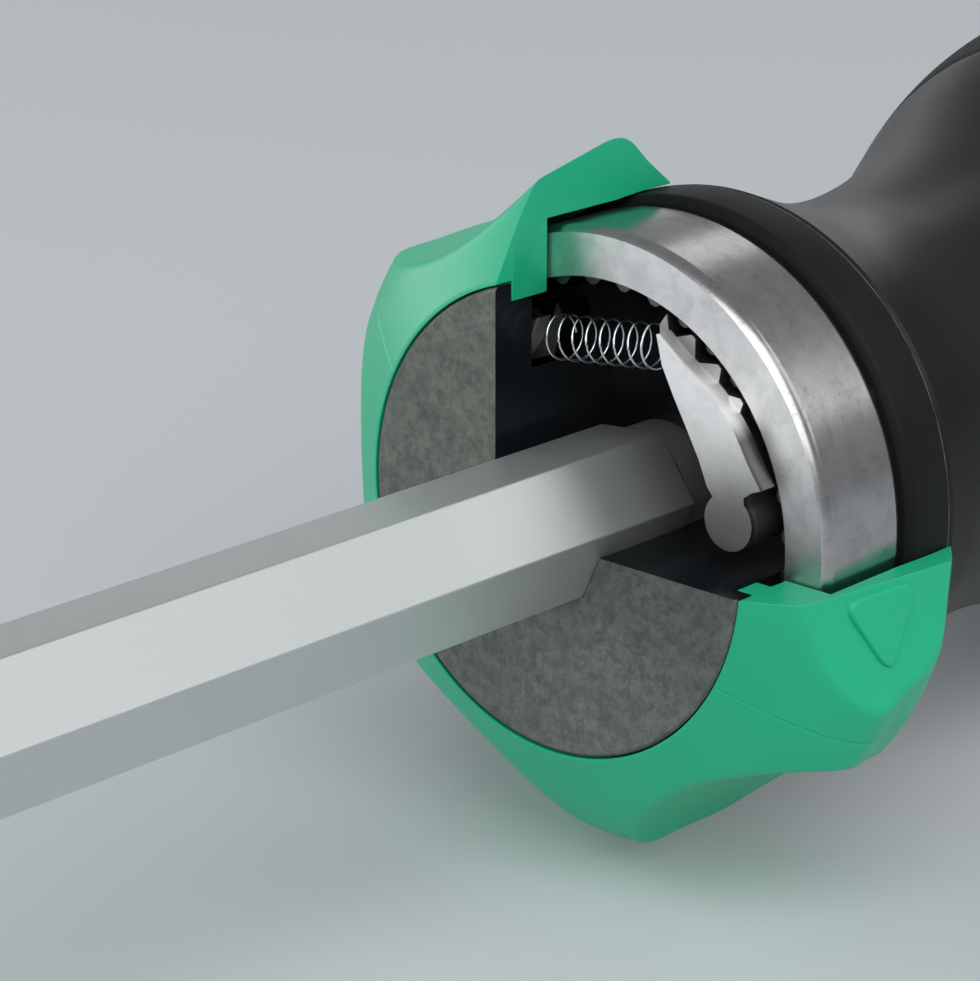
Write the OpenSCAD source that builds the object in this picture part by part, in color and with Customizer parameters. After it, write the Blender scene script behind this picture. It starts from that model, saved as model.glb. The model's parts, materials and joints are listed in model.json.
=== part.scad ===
// Ratcheting screwdriver, shown with a quarter of its selector ring and hub cut away.
// The tool's axis is X. The origin is the middle of the bit holder's mouth, the handle
// lies towards +X, and Z is up. Places along the head are measured from the hub's front
// face, and angles about the axis run from +Y towards +Z.

/* [Blade] */
// Width across the flats of the hexagonal blade
blade_af = 6.35; // [6.2:0.05:6.5]
// Distance from the bit holder's mouth to the hub's front face
blade_reach = 95; // [80:1:120]
// Angle of the blade's first corner about the tool's axis
blade_clock = 54.3; // [50:0.1:60]
// Length of hexagon that runs on behind the hub's front face
blade_tail = 6.1; // [5:0.1:6.5]
// Diameter of the round journal behind the hexagon
journal_d = 6.2; // [5.6:0.05:6.2]
// Length of the journal behind the hexagon
journal_len = 30; // [29.5:0.5:34]

/* [Bit holder] */
// Outer diameter of the bit holder
holder_d = 10.4; // [9.6:0.1:12]
// Length of the bit holder
holder_len = 33; // [30:1:38]
// Depth of the hexagonal bit socket
socket_depth = 12; // [10:0.5:13]
// Clearance across the flats of the bit in its socket
socket_gap = 0.1; // [0.06:0.02:0.2]
// Diameter of the holder's magnet
magnet_d = 5.8; // [5:0.1:6]
// Thickness of the holder's magnet
magnet_t = 3; // [2:0.1:3.4]
// Wall between the magnet and the blade
holder_web = 1; // [0.8:0.1:1.5]
// Overall length of the bit
bit_len = 25; // [24:0.5:28]
// Diameter of the bit's round neck
bit_neck_d = 6; // [5.6:0.1:6.1]
// Diameter at the end of the bit's cross point
bit_point_d = 2.2; // [1.8:0.1:2.6]

/* [Hub] */
// Diameter of the hub's front disc
hub_d = 22.2; // [22:0.1:22.4]
// Thickness of the hub's front disc
hub_disc_t = 1.05; // [0.9:0.05:1.2]
// Diameter of the hub's body inside the tooth ring
hub_body_d = 20.4; // [20.2:0.1:20.5]
// Distance from the hub's front face to its uncut rear flange
flange_at = 8.2; // [7.8:0.1:8.4]
// Thickness of the hub's rear flange
flange_t = 0.8; // [0.6:0.05:0.9]
// Side limit of the cut-away quarter, from the tool's axis
cut_side = 3.33; // [3.2:0.05:3.6]
// Depth of the cut-away quarter's floor below the tool's axis
cut_floor = 0.88; // [0.6:0.02:1.1]

/* [Tooth ring] */
// Number of ratchet teeth
teeth = 36; // [36:12:48]
// Outer diameter of the tooth ring
ring_d = 26.4; // [26:0.1:26.6]
// Diameter over the tips of the inward teeth
tooth_tip_d = 20.9; // [20.8:0.1:21]
// Height of a tooth
tooth_h = 0.65; // [0.55:0.05:0.75]
// Distance from the hub's front face to the front of the tooth ring
ring_at = 3.65; // [3.6:0.05:3.75]
// Length of the tooth ring
ring_len = 5.65; // [5.5:0.05:5.8]
// Diameter of the lip that half covers the teeth in front
ring_lip_d = 21.74; // [21.5:0.02:21.9]

/* [Pawls] */
// Sideways distance of each pawl's pivot from the tool's axis
pivot_y = 8.45; // [8.4:0.05:8.5]
// Height of each pawl's pivot above the tool's axis
pivot_z = 1.46; // [1.4:0.02:1.5]
// Radius of the pawl's round knuckle
knuckle_r = 1.35; // [1.25:0.05:1.4]
// Distance from the hub's front face to the front of each pawl
pawl_at = 2.55; // [2.5:0.05:2.6]
// Length of each pawl along the tool's axis
pawl_len = 3; // [2.6:0.1:3.2]
// Thickness of the plain slab in front of the pawl's teeth
slab_t = 0.95; // [0.9:0.05:1]
// Radius about the tool's axis of the slab's outer corner
slab_r = 10.77; // [10.74:0.01:10.8]
// Radius about the tool's axis of the pawl's tooth tips
pawl_tip_r = 10.72; // [10.65:0.01:10.8]
// Height of the pawl's teeth
pawl_tooth_h = 0.85; // [0.8:0.01:0.9]
// Diameter of the pawl pins
pin_d = 1; // [0.8:0.05:1.1]

/* [Pawl spring] */
// Number of curls in the pawl spring
curls = 8; // [6:1:9]
// Wire thickness of the pawl spring
spring_wire = 0.2; // [0.16:0.02:0.22]
// Outer diameter of the pawl spring
spring_d = 2.1; // [1.9:0.05:2.2]
// Distance from the hub's front face to the spring's axis
spring_at = 3.4; // [3.3:0.05:3.5]

/* [Selector ring] */
// Turn of the selector ring between its two end positions
selector_travel = 45; // [43:1:46]
// Greatest radius of the selector ring, over its lobes
lobe_r = 16.85; // [16.4:0.05:17.2]
// Radius to the middle of a finger scoop
scoop_min_r = 14.45; // [14.3:0.05:14.6]
// Radius of curvature of a finger scoop
scoop_r = 16.5; // [15:0.5:18]
// Slope of the scoops along the ring
scoop_tilt = 8; // [7:0.5:8.5]
// Number of finger scoops
scoops = 6; // [5:1:7]
// Angle of the first scoop about the tool's axis
scoop_clock = 58.1; // [56:0.1:60]
// Length of the selector ring
selector_len = 12.15; // [12:0.05:12.3]
// Gap between the hub's disc and the ring around it
rim_gap = 0.3; // [0.2:0.05:0.4]
// Radial running clearance of the selector ring
selector_fit = 0.08; // [0.05:0.01:0.1]
// Inner radius of the selector ring where it holds a pawl's corner in
hold_r = 10.61; // [10.6:0.01:10.64]
// Height of the raised turning marks
mark_h = 0.25; // [0.15:0.05:0.35]

/* [Detent] */
// Diameter of the detent ball
ball_d = 1.5; // [1.3:0.1:1.6]
// Length of the detent spring
detent_len = 3.2; // [2.8:0.1:3.6]

/* [Collar and dowels] */
// Diameter of the black collar behind the tooth ring
collar_d = 27.56; // [27.5:0.02:27.6]
// Length of the collar
collar_len = 2.62; // [2.5:0.02:2.66]
// Inner diameter of the collar
collar_bore_d = 21.9; // [21.6:0.1:22]
// Diameter of the dowels that key the tooth ring and collar to the handle
dowel_d = 1.6; // [1.2:0.1:1.6]
// Number of dowels
dowels = 3; // [3:1:6]

/* [Bearing] */
// Radial running clearance of the journal in its bush
journal_fit = 0.05; // [0.03:0.01:0.08]
// Wall of the bush
bush_wall = 1.8; // [1.5:0.1:2.2]
// Length of journal that stands out behind the bush
journal_out = 3.3; // [2.8:0.1:4]
// Diameter of the bush's flange
bush_flange_d = 14; // [12:0.5:16]
// Diameter of the thrust washer
washer_d = 18; // [17:0.5:19]
// Thickness of the thrust washer
washer_t = 0.5; // [0.4:0.05:0.6]

/* [Handle] */
// Diameter of the neck at its narrowest
neck_d = 22; // [21.4:0.2:23]
// Distance from the hub's front face to the end of the neck
neck_end = 25.5; // [24.5:0.5:27]
// Greatest diameter of the handle
bulb_d = 36.8; // [36:0.1:38]
// Distance from the hub's front face to the handle's widest place
bulb_at = 52; // [50:0.5:54]
// Distance from the hub's front face to the soft grip
grip_at = 42.4; // [41:0.2:44]
// Thickness of the soft grip
grip_t = 2; // [1.7:0.1:2.4]
// Length of the soft grip
grip_len = 49.6; // [46:0.2:52]
// Depth of the long hollows in the soft grip
flute_depth = 0.9; // [0.5:0.1:1.1]
// Number of long hollows in the soft grip
flutes = 6; // [4:1:8]
// Length of the end cap's dome
cap_len = 18; // [16:0.5:20]
// Diameter of the end cap where it meets the grip
cap_d = 32; // [31.5:0.1:33]
// Diameter of the hollow inside the handle
hollow_d = 16; // [14:0.5:17]

/* [Hidden] */
$fn = 96;

// Clearance between flat faces that lie against each other
seat = 0.05;
// Clearance around a piece that is fixed in another
fixed = 0.02;
// Overrun of a cut past the face that it leaves
over = 1;
// Width of a small bevel on a turned edge
bevel = 0.3;

hub_r = hub_d / 2;
hub_body_r = hub_body_d / 2;
hub_len = flange_at + flange_t;
blade_r = blade_af / sqrt(3);
blade_hole_r = blade_r + 2 * fixed;
blade_front = socket_depth + magnet_t + holder_web + seat;
journal_r = journal_d / 2;
journal_end = blade_tail + journal_len;

pitch = 360 / teeth;
ring_r = ring_d / 2;
tooth_tip_r = tooth_tip_d / 2;
tooth_root_r = tooth_tip_r + tooth_h;
ring_lip_t = 0.3;
ring_end = ring_at + ring_len;
// Half widths of a ring tooth at its tip and root, as shares of the tooth pitch
tooth_tip_share = 0.08;
tooth_root_share = 0.46;
// Outline of a pawl tooth, as shares of the pitch before and after its middle
pawl_tip_share = 0.07;
pawl_slope_share = 0.56;
pawl_drop_share = 0.37;

pawl_end = pawl_at + pawl_len;
slab_end = pawl_at + slab_t;
teeth_at = slab_end + 0.1;
pawl_root_r = pawl_tip_r - pawl_tooth_h;
pawl_teeth = 4;
// Angles about the tool's axis of the right pawl's first tooth and of its slab's two ends
first_tooth_a = 11.04 * pitch;
slab_from_a = 118.5;
slab_to_a = 162;
pivot_right = [-pivot_y, pivot_z];
// Back of the right pawl, from its knuckle to the spring seat, measured from its pivot
pawl_back = [[1.25, 1.4], [1.75, 2.55], [2.5, 3.85], [3.3, 5.2]];
seat_low = [4.8, 6];
seat_high = [5.01, 7.98];
slab_tip = [[4, 6.5], [4.35, 7.85]];
// Outer edge of the slab from its tip to its corner, measured from the pivot
slab_edge = [[2.9, 6.8], [1.55, 6], [0.4, 5], [-0.4, 4], [-1, 3]];
// Notch between the slab and the knuckle, measured from the pivot
pawl_notch = [[-1.33, 1.69], [-0.86, 1.34], [-0.88, 0.88], [-1.15, 0.7]];
pocket_gap = 0.25;
pawl_side_gap = 0.1;
pin_r = pin_d / 2;
pin_from = pawl_at + 0.45;
pin_run = 0.05;

lip_at = hub_disc_t + 0.07;
lip_end = ring_at - 0.1;
lip_r = hub_body_r + selector_fit;
// The lip lets the pawl's corner out where it is relieved and holds it in beside that
hold_gap = 0.02;
corner = slab_r * [cos(slab_to_a), sin(slab_to_a)];
corner_arm = norm(corner - pivot_right);
pivot_r = norm(pivot_right);
function swing(r) = acos((r * r - pivot_r * pivot_r - corner_arm * corner_arm)
    / (2 * pivot_r * corner_arm));
pawl_lift = swing(hold_r - hold_gap) - swing(slab_r);
relief_r = hub_r;
relief_lead = 2.5;
hold_span_a = 8;
relief_tail_a = 188;
// Angle that the detent track runs on past the ball at each end
track_over_a = 6;

collar_r = collar_d / 2;
collar_bore_r = collar_bore_d / 2;
collar_at = ring_end + seat;
collar_end = collar_at + collar_len;
ring_bore_r = ring_r + 0.4;
rear_bore_r = collar_r + selector_fit;
rear_bore_at = 9;
selector_front = 0.05;
selector_end = selector_front + selector_len;
rim_r = hub_r + rim_gap;
// Outer form of the selector ring: its points at shares of the ring's length, and of the
// height that the lobes rise above the ring's rear bore
lobe_rise = lobe_r - rear_bore_r;
ring_form = [[0.177, 0.315], [0.362, 1], [0.543, 0.95], [0.728, 0.8], [0.868, 0.382]];
ring_edge_rise = 0.3;
scoop_at_share = 0.531;
// Corners of a turning mark, along and across the ring, as shares of its length
mark_form = [[0.309, -0.119], [0.663, -0.086], [0.473, 0.136]];
mark_off_a = 13;
mark_round = 0.6;

ball_r = ball_d / 2;
ball_x = (lip_at + lip_end) / 2;
ball_a = 270;
ball_at_r = lip_r + 0.12 - ball_r;
detent_hole_r = ball_r + 0.05;
detent_floor_r = ball_at_r - ball_r - detent_len;
track_gap = 0.1;
pit_depth = 0.15;

dowel_r = dowel_d / 2;
dowel_at_r = (tooth_root_r + ring_r) / 2;
dowel_in_ring = 1.8;
dowel_in_core = 1.2;
dowel_from = ring_end - dowel_in_ring;
dowel_to = collar_end + dowel_in_core;

washer_at = hub_len + seat;
washer_end = washer_at + washer_t;
bush_at = washer_end + seat;
bush_flange_t = 0.8;
bush_flange_end = bush_at + bush_flange_t;
bush_end = journal_end - journal_out;
bush_bore_r = journal_r + journal_fit;
bush_r = bush_bore_r + bush_wall;
back_washer_at = bush_end + seat;
back_washer_t = 0.6;
clip_at = back_washer_at + back_washer_t + seat;
clip_t = 0.6;
clip_groove_r = journal_r - 0.55;

core_at = collar_end + seat;
core_front_r = collar_r - 0.1;
neck_r = neck_d / 2;
bulb_r = bulb_d / 2;
bulb_end = bulb_at + 6;
core_front_len = 0.9;
flare_len = 9.5;
flare_at = core_at + core_front_len;
neck_from = flare_at + flare_len;
grip_end = grip_at + grip_len;
cap_r = cap_d / 2;
cap_face_r = 9;
hollow_r = hollow_d / 2;
plug_len = 12;
flute_r = 14;

holder_r = holder_d / 2;
socket_r = (blade_af + socket_gap) / sqrt(3);
bit_back = socket_depth - seat;
bit_front = bit_back - bit_len;
bit_shoulder = -2;
bit_cone_at = bit_front + 6;
bit_notch_at = 3;
bit_cut = 4;

// Plain helpers for points and outlines
function polar(r, a) = r * [cos(a), sin(a)];
function turn(p, a) = [p[0] * cos(a) - p[1] * sin(a), p[0] * sin(a) + p[1] * cos(a)];
function unit(v) = v / norm(v);
function ease(t) = t * t * (3 - 2 * t);
function rounded(p, r, n = 4) = [
    for (i = [0 : len(p) - 1])
        let (b = p[i])
        let (u = unit(p[(i + len(p) - 1) % len(p)] - b))
        let (v = unit(p[(i + 1) % len(p)] - b))
        for (k = [0 : n])
            let (t = k / n)
            b + u * r * (1 - t) * (1 - t) + v * r * t * t
];
// A smooth curve through a row of points
function curve(p, n = 4) = [
    for (i = [0 : len(p) - 2])
        let (a = p[max(i - 1, 0)], b = p[i], c = p[i + 1], d = p[min(i + 2, len(p) - 1)])
        for (k = [0 : (i == len(p) - 2 ? n : n - 1)])
            let (t = k / n)
            ((2 * b) + (c - a) * t + (2 * a - 5 * b + 4 * c - d) * t * t
                + (3 * b - a - 3 * c + d) * t * t * t) / 2
];

// Turns an outline of (radius, place behind the hub's face) about the tool's axis
module turned(fn = 96) {
    translate([blade_reach, 0, 0])
        rotate([90, 0, 90])
            rotate_extrude($fn = fn)
                children();
}

// Extrudes an outline of (y, z) between two places behind the hub's face
module slab_x(from, to) {
    translate([blade_reach + from, 0, 0])
        rotate([90, 0, 90])
            linear_extrude(to - from)
                children();
}

// A ring between two radii, with bevels on its outer edges
module band(inner, outer, from, to, edge = bevel) {
    turned()
        polygon([
            [inner, from], [outer - edge, from], [outer, from + edge],
            [outer, to - edge], [outer - edge, to], [inner, to]
        ]);
}

// A round rod or hole along the tool's axis at a place in the cross-section
module rod(r, from, to, at = [0, 0], fn = 48) {
    slab_x(from, to)
        translate(at)
            circle(r, $fn = fn);
}

// A hexagonal rod or hole along the tool's axis
module hex_rod(r, from, to) {
    slab_x(from, to)
        rotate(blade_clock)
            circle(r, $fn = 6);
}

// The quarter that is cut away, out to a radius that clears the whole head
module window(from, to) {
    reach = lobe_r + over;
    slab_x(from, to)
        translate([-reach, -cut_floor])
            square([reach + cut_side, reach + cut_floor]);
}

// A tube of wire along a row of points, with one side direction given at each point
module wire(path, sides, r, first, last) {
    n = 6;
    rings = [
        for (i = [0 : len(path) - 1])
            let (ahead = i == 0 ? first : i == len(path) - 1 ? last
                : unit(path[i + 1] - path[i - 1]))
            let (s = unit(sides[i] - ahead * (sides[i] * ahead)))
            let (b = cross(ahead, s))
            for (k = [0 : n - 1])
                path[i] + r * cos(360 * k / n) * s + r * sin(360 * k / n) * b
    ];
    ends = (len(path) - 1) * n;
    walls = [
        for (i = [0 : len(path) - 2])
            for (k = [0 : n - 1])
                let (a = i * n + k, b = i * n + (k + 1) % n)
                for (f = [[a, b, b + n], [a, b + n, a + n]])
                    f
    ];
    caps = [
        for (k = [1 : n - 2])
            for (f = [[0, k + 1, k], [ends, ends + k, ends + k + 1]])
                f
    ];
    polyhedron(points = rings, faces = [for (f = concat(walls, caps)) [f[0], f[2], f[1]]]);
}

// Points of a coil between two seats: its first and last stretch stand square on the seats
function coil_point(from, to, side, up, r, turns, t) =
    from + (to - from) * t + r * (side * cos(360 * turns * t) + up * sin(360 * turns * t));
function coil_side(side, up, turns, t) = side * cos(360 * turns * t) + up * sin(360 * turns * t);

module coil(from, to, from_normal, to_normal, side, r, wire_d, turns) {
    steps = 8 * turns;
    axis = unit(to - from);
    up = cross(axis, side);
    start = from + from_normal * (wire_d + fixed);
    stop = to + to_normal * (wire_d + fixed);
    ts = [for (i = [0 : steps]) i / steps];
    middle = [for (t = ts) coil_point(start, stop, side, up, r, turns, t)];
    first = from + from_normal * fixed + side * r;
    last = to + to_normal * fixed + side * r;
    path = concat([first], middle, [last]);
    sides = concat([side], [for (t = ts) coil_side(side, up, turns, t)], [side]);
    gaps = [
        for (i = [0 : steps])
            for (j = [i + 5 : 1 : steps])
                norm(middle[i] - middle[j]) - wire_d
    ];
    echo(least_gap_of_coil = min(gaps));
    wire(path, sides, wire_d / 2, from_normal, -to_normal);
}

// Turned outline of the handle as (radius, place behind the hub's face)
function flare(t) = [
    neck_r + (core_front_r - neck_r) * pow(1 - t, 1.5),
    flare_at + (neck_from - flare_at) * t
];
function bulge(t) = [neck_r + (bulb_r - neck_r) * ease(t), neck_end + (bulb_at - neck_end) * t];
function taper(t) = [bulb_r + (cap_r - bulb_r) * ease(t), bulb_end + (grip_end - bulb_end) * t];
function bulge_at(x) = bulge((x - neck_end) / (bulb_at - neck_end));

module hex_blade() {
    color("silver")
        difference() {
            union() {
                hex_rod(blade_r, blade_front - blade_reach, blade_tail);
                rod(journal_r, blade_tail - over, journal_end);
            }
            turned(48)
                polygon([
                    [clip_groove_r, clip_at], [journal_r + over, clip_at],
                    [journal_r + over, clip_at + clip_t + seat], [clip_groove_r, clip_at + clip_t + seat]
                ]);
            turned(48)
                polygon([
                    [journal_r - bevel, journal_end], [journal_r + over, journal_end - bevel - over],
                    [journal_r + over, journal_end + over], [journal_r - bevel, journal_end + over]
                ]);
        }
}

// Room for the left pawl to swing in the hub, measured from its pivot as on the right
module pawl_pocket() {
    inner = [
        for (p = concat(pawl_back, [seat_low]))
            turn(p, -pawl_lift) + [pocket_gap, -pocket_gap]
    ];
    last = inner[len(inner) - 1];
    knuckle_room = knuckle_r + 0.1;
    top = hub_r + over;
    translate(pivot_right) {
        circle(knuckle_room, $fn = 48);
        polygon(concat(
            [[0, 0], [knuckle_room, 0]], inner,
            [[last[0], top], [-top, top], [-top, 0]]
        ));
    }
}

module hub() {
    color("dimgray")
        difference() {
            turned()
                polygon([
                    [0, 0], [hub_r - 0.15, 0], [hub_r, 0.15], [hub_r, hub_disc_t],
                    [hub_body_r, hub_disc_t], [hub_body_r, hub_len], [0, hub_len]
                ]);
            hex_rod(blade_hole_r, -over, blade_tail + seat);
            rod(journal_r + fixed, blade_tail, hub_len + over);
            window(-over, flange_at);
            slab_x(pawl_at - pawl_side_gap, pawl_end + pawl_side_gap)
                mirror([1, 0])
                    pawl_pocket();
            for (side = [-1, 1])
                rod(pin_r + fixed, pawl_end, hub_len + over, [side * pivot_y, pivot_z], 32);
            translate([blade_reach + ball_x, 0, 0])
                rotate([180, 0, 0])
                    translate([0, 0, detent_floor_r])
                        cylinder(r = detent_hole_r, h = hub_r, $fn = 48);
        }
}

// Outline of the pawl's plain front slab, on the right-hand side
module slab_outline() {
    edge = curve(concat([slab_tip[1]], slab_edge, [corner - pivot_right]), 3);
    translate(pivot_right) {
        circle(knuckle_r, $fn = 48);
        polygon(concat([[0, 0]], pawl_back, [slab_tip[0]], edge, pawl_notch));
    }
}

// Outline of the pawl's toothed body behind the slab
module toothed_outline() {
    tooth = [
        [pawl_root_r, -pawl_slope_share], [pawl_tip_r, -pawl_tip_share],
        [pawl_tip_r, pawl_tip_share], [pawl_root_r, pawl_drop_share]
    ];
    // The first tooth starts at the spring seat, so its first two points are left out
    rim = [
        for (i = [2 : 4 * pawl_teeth - 1])
            let (p = tooth[i % 4])
            polar(p[0], first_tooth_a + (floor(i / 4) + p[1]) * pitch) - pivot_right
    ];
    heel_a = first_tooth_a + (pawl_teeth - 1 + pawl_drop_share) * pitch;
    heel = [for (i = [1 : 4]) polar(pawl_root_r, heel_a + (slab_to_a - heel_a) * i / 4) - pivot_right];
    translate(pivot_right) {
        circle(knuckle_r, $fn = 48);
        polygon(concat([[0, 0]], pawl_back, [seat_low, seat_high], rim, heel, pawl_notch));
    }
}

module pawl() {
    difference() {
        union() {
            slab_x(pawl_at, teeth_at)
                slab_outline();
            slab_x(teeth_at - 0.05, pawl_end)
                toothed_outline();
        }
        rod(pin_r + pin_run, pin_from - seat, pawl_end + over, pivot_right, 32);
    }
}

module pawl_right() {
    color("gainsboro")
        pawl();
}

// The left pawl is held in by the selector ring's lip
module pawl_left() {
    color("gainsboro")
        translate([0, pivot_y, pivot_z])
            rotate([pawl_lift, 0, 0])
                translate([0, -pivot_y, -pivot_z])
                    mirror([0, 1, 0])
                        pawl();
}

module pawl_pin(side) {
    color("gray")
        rod(pin_r, pin_from, hub_len, [side * pivot_y, pivot_z], 32);
}

module pawl_pin_right() {
    pawl_pin(-1);
}

module pawl_pin_left() {
    pawl_pin(1);
}

module pawl_spring() {
    seat_dir = unit(seat_high - seat_low);
    seat_mid = (seat_high + seat_low) / 2;
    lifted_mid = turn(seat_mid, -pawl_lift);
    lifted_dir = turn(seat_dir, -pawl_lift);
    x = blade_reach + spring_at;
    right = [x, seat_mid[0] - pivot_y, seat_mid[1] + pivot_z];
    left = [x, pivot_y - lifted_mid[0], lifted_mid[1] + pivot_z];
    right_normal = [0, seat_dir[1], -seat_dir[0]];
    left_normal = [0, -lifted_dir[1], -lifted_dir[0]];
    color("lightgray")
        coil(right, left, right_normal, left_normal, [1, 0, 0],
            (spring_d - spring_wire) / 2, spring_wire, curls);
}

// The selector ring's outer form, grown by an amount for its raised marks
module ring_blank(grow = 0) {
    outline = curve(concat(
        [[rim_r + 0.1, selector_front]],
        [for (s = ring_form) [rear_bore_r + s[1] * lobe_rise, selector_front + s[0] * selector_len]],
        [[rear_bore_r + ring_edge_rise, selector_end]]
    ));
    mid_x = selector_front + scoop_at_share * selector_len;
    difference() {
        turned()
            polygon(concat(
                [[lip_r - over, selector_front]],
                [for (p = outline) p + [grow, 0]],
                [[lip_r - over, selector_end]]
            ));
        for (i = [0 : scoops - 1])
            rotate([scoop_clock + 360 / scoops * i, 0, 0])
                translate([blade_reach + mid_x, scoop_min_r + scoop_r, 0])
                    rotate([0, 0, scoop_tilt])
                        rotate([0, 90, 0])
                            cylinder(r = scoop_r - grow, h = 4 * selector_len, center = true);
    }
}

// A sector of a ring in the cross-section, from one angle to another
module sector(from_a, to_a, r) {
    n = 12;
    polygon(concat(
        [[0, 0]],
        [for (i = [0 : n]) polar(r, from_a + (to_a - from_a) * i / n)]
    ));
}

// A groove inside the selector ring's lip between two angles
module lip_groove(from_a, to_a, r, from, to) {
    slab_x(from, to)
        intersection() {
            circle(r);
            sector(from_a, to_a, 2 * r);
        }
}

// A raised triangle on a scoop's flank, which points the way to turn
module turning_mark(scoop_a, way) {
    corners = [for (s = mark_form) [s[0], -way * s[1]] * selector_len];
    intersection() {
        ring_blank(mark_h);
        rotate([scoop_a + way * mark_off_a, 0, 0])
            translate([blade_reach + selector_front, rear_bore_r + 0.2, 0])
                rotate([-90, 0, 0])
                    linear_extrude(lobe_rise + over)
                        polygon(rounded(corners, mark_round));
    }
}

module selector_ring() {
    groove_from = pawl_at - pawl_side_gap;
    relief_a = slab_from_a - relief_lead;
    left_a = 180 - relief_tail_a - selector_travel;
    left_relief_a = 180 - relief_a - selector_travel;
    color("mediumseagreen")
        difference() {
            union() {
                ring_blank();
                turning_mark(scoop_clock + 2 * 360 / scoops, 1);
                turning_mark(scoop_clock - 360 / scoops, -1);
            }
            rod(rim_r, -over, lip_at, fn = 96);
            rod(lip_r, 0, lip_end + over, fn = 96);
            rod(ring_bore_r, lip_end, rear_bore_at, fn = 96);
            rod(rear_bore_r, rear_bore_at - fixed, selector_end + over, fn = 96);
            lip_groove(relief_a, relief_tail_a, relief_r, groove_from, lip_end + over);
            lip_groove(relief_a - hold_span_a, relief_a + 1, hold_r, groove_from, lip_end + over);
            lip_groove(left_a, left_relief_a, relief_r, groove_from, lip_end + over);
            lip_groove(left_relief_a - 1, left_relief_a + hold_span_a, hold_r, groove_from, lip_end + over);
            lip_groove(ball_a - selector_travel - track_over_a, ball_a + track_over_a,
                ball_at_r + ball_r + track_gap, ball_x - ball_r - track_gap, ball_x + ball_r + track_gap);
            for (a = [ball_a, ball_a - selector_travel])
                rotate([a, 0, 0])
                    translate([blade_reach + ball_x, ball_at_r + pit_depth, 0])
                        sphere(ball_r + track_gap, $fn = 32);
            window(-over, selector_end + over);
        }
}

module detent_ball() {
    color("silver")
        translate([blade_reach + ball_x, 0, -ball_at_r])
            sphere(ball_r, $fn = 32);
}

module detent_spring() {
    floor_z = -detent_floor_r;
    top_z = -(ball_at_r - ball_r);
    x = blade_reach + ball_x;
    color("lightgray")
        coil([x, 0, floor_z], [x, 0, top_z], [0, 0, -1], [0, 0, 1], [1, 0, 0],
            ball_r - 0.2, spring_wire, 4);
}

// Outline inside the teeth of the tooth ring
module tooth_hollow() {
    polygon([
        for (i = [0 : teeth - 1])
            let (a = (i + 0.5) * pitch)
            for (p = [
                [tooth_root_r, -tooth_root_share], [tooth_tip_r, -tooth_tip_share],
                [tooth_tip_r, tooth_tip_share], [tooth_root_r, tooth_root_share]
            ])
                polar(p[0], a + p[1] * pitch)
    ]);
}

module dowel_places() {
    for (i = [0 : dowels - 1])
        rotate([270 + 360 / dowels * i, 0, 0])
            children();
}

module dowel_rod(r, from, to) {
    dowel_places()
        translate([blade_reach + from, dowel_at_r, 0])
            rotate([0, 90, 0])
                cylinder(r = r, h = to - from, $fn = 32);
}

module tooth_ring() {
    teeth_from = ring_at + ring_lip_t;
    color("lightsteelblue")
        difference() {
            band(tooth_tip_r - over, ring_r, ring_at, ring_end);
            rod(ring_lip_d / 2, ring_at - over, teeth_from, fn = 96);
            slab_x(teeth_from - fixed, ring_end + over)
                tooth_hollow();
            dowel_rod(dowel_r + fixed, dowel_from - seat, ring_end + over);
        }
}

module ring_dowels() {
    color("gray")
        dowel_rod(dowel_r, dowel_from, dowel_to);
}

module collar_ring() {
    color([0.1, 0.1, 0.1])
        difference() {
            band(collar_bore_r, collar_r, collar_at, collar_end);
            dowel_rod(dowel_r + fixed, collar_at - over, collar_end + over);
        }
}

module thrust_washer() {
    color("khaki")
        band(journal_r + 0.15, washer_d / 2, washer_at, washer_end, 0.1);
}

module journal_bush() {
    color("darkkhaki")
        turned()
            polygon([
                [bush_bore_r, bush_at], [bush_flange_d / 2, bush_at], [bush_flange_d / 2, bush_flange_end],
                [bush_r, bush_flange_end], [bush_r, bush_end], [bush_bore_r, bush_end]
            ]);
}

module shaft_washer() {
    color("gray")
        band(journal_r + 0.1, bush_r + 0.8, back_washer_at, back_washer_at + back_washer_t, 0.1);
}

module retaining_ring() {
    ring_from = clip_at + seat / 2;
    color("slategray")
        difference() {
            band(clip_groove_r + fixed, journal_r + 1.9, ring_from, ring_from + clip_t, 0.1);
            slab_x(clip_at - over, clip_at + clip_t + over)
                translate([-clip_groove_r * 0.8, -2 * journal_r])
                    square([clip_groove_r * 1.6, 2 * journal_r]);
        }
}

module handle_core() {
    inlay_r = grip_t + fixed;
    front_step = bulge_at(grip_at)[0] - inlay_r;
    color([0.12, 0.12, 0.13])
        difference() {
            turned()
                polygon(concat(
                    [[0, collar_at], [collar_bore_r - seat, collar_at], [collar_bore_r - seat, core_at]],
                    [[core_front_r - 0.2, core_at], [core_front_r, core_at + 0.2]],
                    [for (i = [0 : 8]) flare(i / 8)],
                    [
                        for (i = [0 : 10])
                            bulge_at(neck_end + (grip_at - seat - neck_end) * i / 10)
                    ],
                    [[front_step, grip_at - seat]],
                    [
                        for (i = [0 : 6])
                            bulge_at(grip_at + (bulb_at - grip_at) * i / 6) - [inlay_r, 0]
                    ],
                    [for (i = [0 : 10]) taper(i / 10) - [inlay_r, 0]],
                    [[0, grip_end]]
                ));
            rod(washer_d / 2 + 0.1, collar_at - over, bush_at, fn = 96);
            rod(bush_flange_d / 2 + fixed, bush_at - fixed, bush_flange_end + seat, fn = 96);
            rod(bush_r + fixed, bush_at, bush_end + over, fn = 96);
            rod(hollow_r, bush_end, grip_end + over, fn = 96);
            dowel_rod(dowel_r + fixed, core_at - over, dowel_to + seat);
        }
}

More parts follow.
